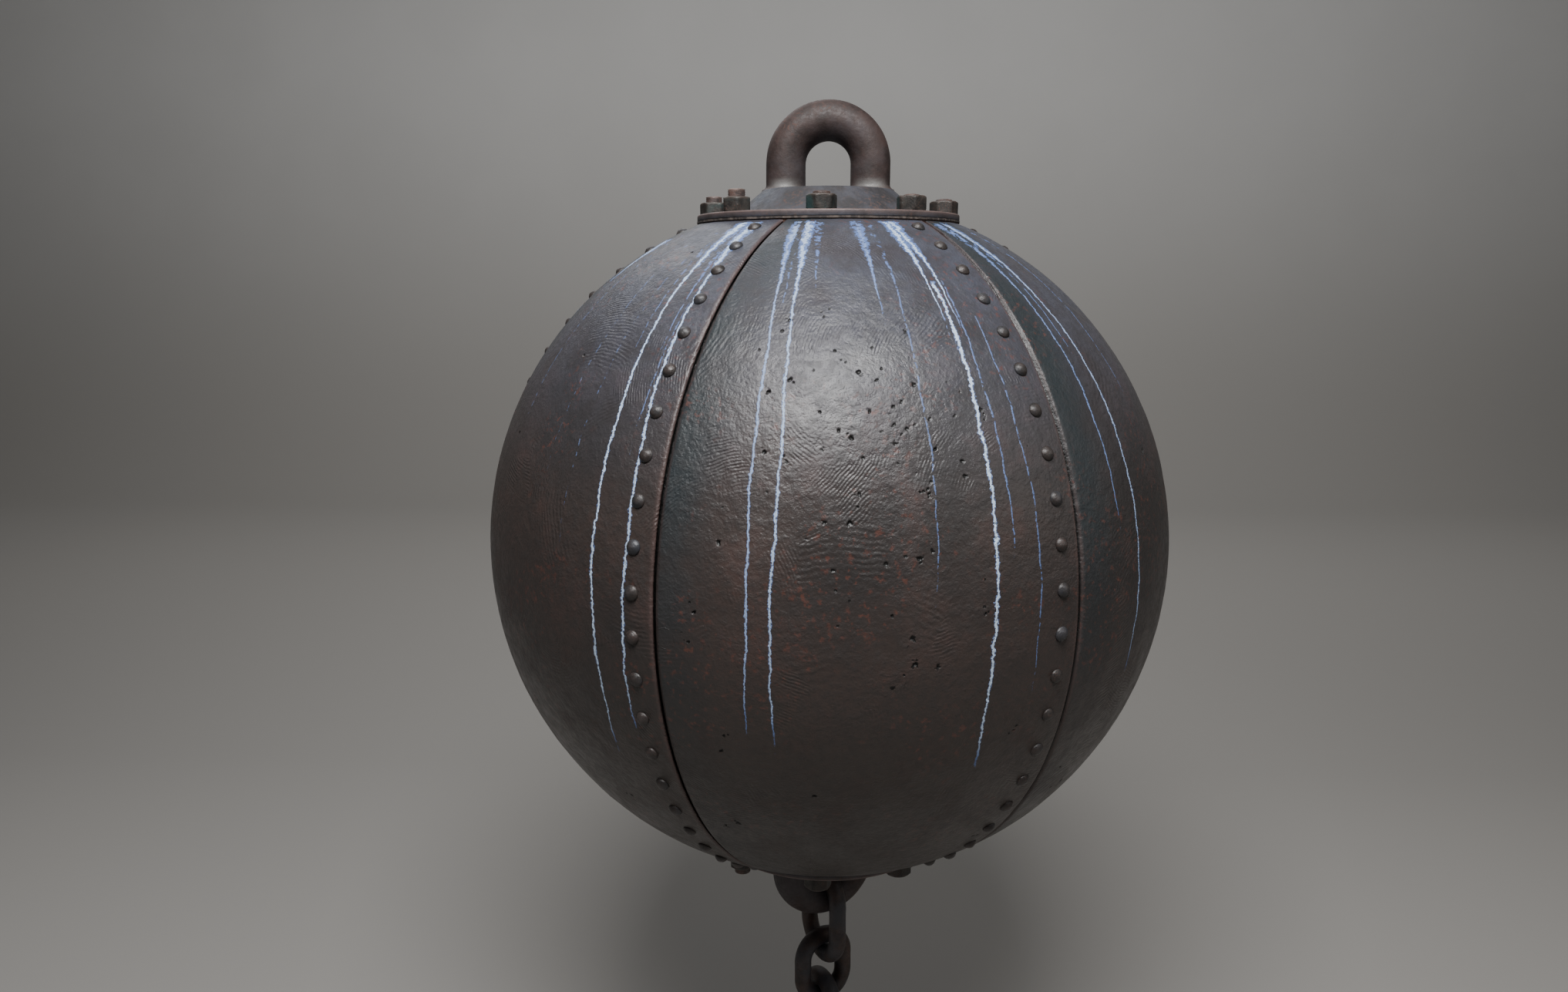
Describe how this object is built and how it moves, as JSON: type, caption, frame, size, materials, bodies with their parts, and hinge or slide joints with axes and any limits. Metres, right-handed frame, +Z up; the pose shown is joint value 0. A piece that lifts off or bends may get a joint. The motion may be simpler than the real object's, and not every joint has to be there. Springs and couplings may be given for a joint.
{
  "type": "mooring buoy",
  "caption": "Riveted steel ball buoy with a bolted cover and a forged eye at each pole, and a short chain hanging from the lower eye.",
  "frame": {"origin": "the point inside the lifting eye's bend where a hook bears, on the ball's axis", "axes": "+Z up along the ball's axis, +X along the plane of the lifting eye, -Y towards the front; the ball's centre is 579.1 mm below the origin"},
  "size_m": [1.0104, 0.9998, 1.601],
  "materials": {
    "shell_iron": "hammered plate with dark brown-black weathered coating, half gloss, white and blue run marks from the upper cover",
    "rivet_iron": "dark brown-black, slightly worn on the heads",
    "ring_iron": "dull brown primer",
    "cover_iron": "blue-grey brown, satin",
    "gasket_rubber": "matte, brown with rust",
    "stud_iron": "rusty brown, paler ends",
    "nut_iron": "dark brown with green-blue patches",
    "eye_iron": "forged, pinkish brown, worn bright at the feet",
    "chain_iron": "forged, dark brown, blue-grey where the links rub"
  },
  "bodies": {
    "buoy": {"shell_plate_1": "shell_iron", "shell_plate_2": "shell_iron", "shell_plate_3": "shell_iron", "shell_plate_4": "shell_iron", "shell_plate_5": "shell_iron", "shell_plate_6": "shell_iron", "seam_rivets_1": "rivet_iron", "seam_rivets_2": "rivet_iron", "seam_rivets_3": "rivet_iron", "seam_rivets_4": "rivet_iron", "seam_rivets_5": "rivet_iron", "seam_rivets_6": "rivet_iron", "top_seat_ring": "ring_iron", "top_gasket": "gasket_rubber", "top_cover": "cover_iron", "top_studs": "stud_iron", "top_nuts": "nut_iron", "lifting_eye": "eye_iron", "top_backing_plate": "ring_iron", "lifting_eye_nuts": "nut_iron", "bottom_seat_ring": "ring_iron", "bottom_gasket": "gasket_rubber", "bottom_cover": "cover_iron", "bottom_studs": "stud_iron", "bottom_nuts": "nut_iron", "mooring_eye": "eye_iron", "bottom_backing_plate": "ring_iron", "mooring_eye_nuts": "nut_iron"},
    "end_link": {"end_link": "chain_iron"},
    "chain_link_1": {"chain_link_1": "chain_iron"},
    "chain_link_2": {"chain_link_2": "chain_iron"},
    "chain_link_3": {"chain_link_3": "chain_iron"}
  },
  "joints": [
    {"name": "end_link_swing", "type": "hinge", "parent": "buoy", "child": "end_link", "pos_m": [0, 0, -1.1872], "axis": [0.866, 0.5, 0], "range_deg": [-60, 60]},
    {"name": "chain_link_1_swing", "type": "hinge", "parent": "end_link", "child": "chain_link_1", "pos_m": [0, 0, -1.2899], "axis": [-0.5, 0.866, 0], "range_deg": [-60, 60]},
    {"name": "chain_link_2_swing", "type": "hinge", "parent": "chain_link_1", "child": "chain_link_2", "pos_m": [0, 0, -1.3696], "axis": [0.866, 0.5, 0], "range_deg": [-60, 60]},
    {"name": "chain_link_3_swing", "type": "hinge", "parent": "chain_link_2", "child": "chain_link_3", "pos_m": [0, 0, -1.4493], "axis": [-0.5, 0.866, 0], "range_deg": [-60, 60]}
  ]
}
